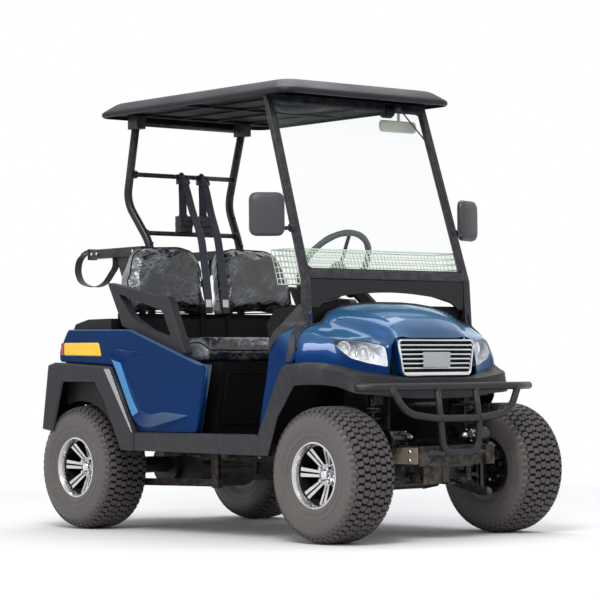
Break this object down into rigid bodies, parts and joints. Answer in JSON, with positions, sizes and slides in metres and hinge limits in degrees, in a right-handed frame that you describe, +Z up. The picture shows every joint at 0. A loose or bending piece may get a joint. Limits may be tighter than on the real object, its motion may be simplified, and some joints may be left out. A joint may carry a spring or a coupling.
{
  "type": "golf cart",
  "caption": "Lifted two-seat electric golf cart with roof, windscreen, brush guard, bag holder, steering front wheels and a lifting seat.",
  "frame": {"origin": "on the ground, at the middle of the overall length and width", "axes": "+X forward, +Y to the cart's left, +Z up"},
  "size_m": [2.409, 1.36, 1.948],
  "materials": {
    "frame_black": "satin powder coat",
    "cast_grey": "as cast, painted",
    "damper_black": "gloss black",
    "zinc_steel": "zinc plated",
    "floor_rubber": "ribbed mat",
    "trim_charcoal": "grained moulding",
    "paint_blue": "metallic clear coat",
    "panel_black": "fine grained",
    "battery_case": "plain",
    "seat_vinyl": "dark vinyl in clear wrinkled film",
    "roof_grey": "vacuum formed, satin",
    "screen_glass": "clear, slightly green",
    "grille_chrome": "polished",
    "lamp_clear": "clear lens over bright reflector",
    "grip_black": "soft grip",
    "mirror_shell": "satin moulding",
    "basket_wire": "white coated wire",
    "belt_webbing": "woven webbing",
    "guard_grey": "hammer-finish powder coat",
    "lamp_red": "red lens",
    "lamp_amber": "amber reflector",
    "tyre_rubber": "all-terrain rubber",
    "strip_silver": "silver paint",
    "wheel_alloy": "machined faces with black pockets"
  },
  "bodies": {
    "chassis": {"chassis_frame": "frame_black", "cross_members": "frame_black", "suspension_arms": "frame_black", "rear_axle": "cast_grey", "drive_motor": "cast_grey", "shock_absorbers": "damper_black", "rack_housing": "cast_grey", "floor_pan": "floor_rubber", "rear_flares": "trim_charcoal", "side_sills": "trim_charcoal", "front_flares": "trim_charcoal", "front_bumper": "trim_charcoal", "side_panels": "paint_blue", "seat_base": "panel_black", "battery_pack": "battery_case", "back_base": "panel_black", "seat_backs": "seat_vinyl", "armrests": "trim_charcoal", "rear_body": "panel_black", "bag_well": "panel_black", "rear_posts": "frame_black", "roof": "roof_grey", "windscreen_frame": "frame_black", "windscreen_glass": "screen_glass", "windscreen_fairing": "trim_charcoal", "wiper": "frame_black", "hood": "paint_blue", "grille": "grille_chrome", "headlamps": "lamp_clear", "cowl_sides": "paint_blue", "bulkhead": "panel_black", "dashboard": "panel_black", "steering_column": "panel_black", "door_mirrors": "mirror_shell", "interior_mirror": "mirror_shell", "dash_basket": "basket_wire", "seat_belts": "belt_webbing", "bag_holder": "frame_black", "bag_straps": "belt_webbing", "pedals": "frame_black", "brush_guard": "guard_grey", "tail_lamps": "lamp_red", "marker_lamps": "lamp_amber", "cowl_trims": "trim_charcoal", "flare_strips": "strip_silver", "belt_buckles": "panel_black", "front_subframe": "frame_black"},
    "knuckle_right": {"knuckle_right": "cast_grey"},
    "knuckle_left": {"knuckle_left": "cast_grey"},
    "track_rod": {"track_rod": "zinc_steel"},
    "steering_wheel": {"steering_wheel": "grip_black"},
    "seat_lid": {"seat_cushion": "seat_vinyl"},
    "wheel_front_right": {"tyre_front_right": "tyre_rubber", "rim_front_right": "wheel_alloy"},
    "wheel_front_left": {"tyre_front_left": "tyre_rubber", "rim_front_left": "wheel_alloy"},
    "wheel_rear_right": {"tyre_rear_right": "tyre_rubber", "rim_rear_right": "wheel_alloy"},
    "wheel_rear_left": {"tyre_rear_left": "tyre_rubber", "rim_rear_left": "wheel_alloy"}
  },
  "joints": [
    {"name": "steer_right", "type": "hinge", "parent": "chassis", "child": "knuckle_right", "pos_m": [0.934, -0.365, 0.279], "axis": [0, 0, 1], "range_deg": [-25, 25]},
    {"name": "steer_left", "type": "hinge", "parent": "chassis", "child": "knuckle_left", "pos_m": [0.934, 0.365, 0.279], "axis": [0, 0, 1], "range_deg": [-25, 25]},
    {"name": "spin_front_right", "type": "hinge", "parent": "knuckle_right", "child": "wheel_front_right", "pos_m": [0.934, -0.487, 0.279], "axis": [0, 1, 0], "continuous": true},
    {"name": "spin_front_left", "type": "hinge", "parent": "knuckle_left", "child": "wheel_front_left", "pos_m": [0.934, 0.487, 0.279], "axis": [0, 1, 0], "continuous": true},
    {"name": "spin_rear_right", "type": "hinge", "parent": "chassis", "child": "wheel_rear_right", "pos_m": [-0.716, -0.487, 0.279], "axis": [0, 1, 0], "continuous": true},
    {"name": "spin_rear_left", "type": "hinge", "parent": "chassis", "child": "wheel_rear_left", "pos_m": [-0.716, 0.487, 0.279], "axis": [0, 1, 0], "continuous": true},
    {"name": "rack_slide", "type": "slide", "parent": "chassis", "child": "track_rod", "axis": [0, 1, 0], "range_m": [-0.0485, 0.0485]},
    {"name": "steering_turn", "type": "hinge", "parent": "chassis", "child": "steering_wheel", "pos_m": [0.172, 0.205, 1.172], "axis": [-0.7986, 0, 0.6018], "range_deg": [-305, 305]},
    {"name": "seat_lid_hinge", "type": "hinge", "parent": "chassis", "child": "seat_lid", "pos_m": [0.14, 0, 0.755], "axis": [0, 1, 0], "range_deg": [0, 45]}
  ],
  "couplings": [
    {"joint": "steer_left", "follows": "steer_right", "ratio": 1},
    {"joint": "rack_slide", "follows": "steer_right", "m_per_rad": -0.11},
    {"joint": "steering_turn", "follows": "steer_right", "ratio": 12}
  ]
}
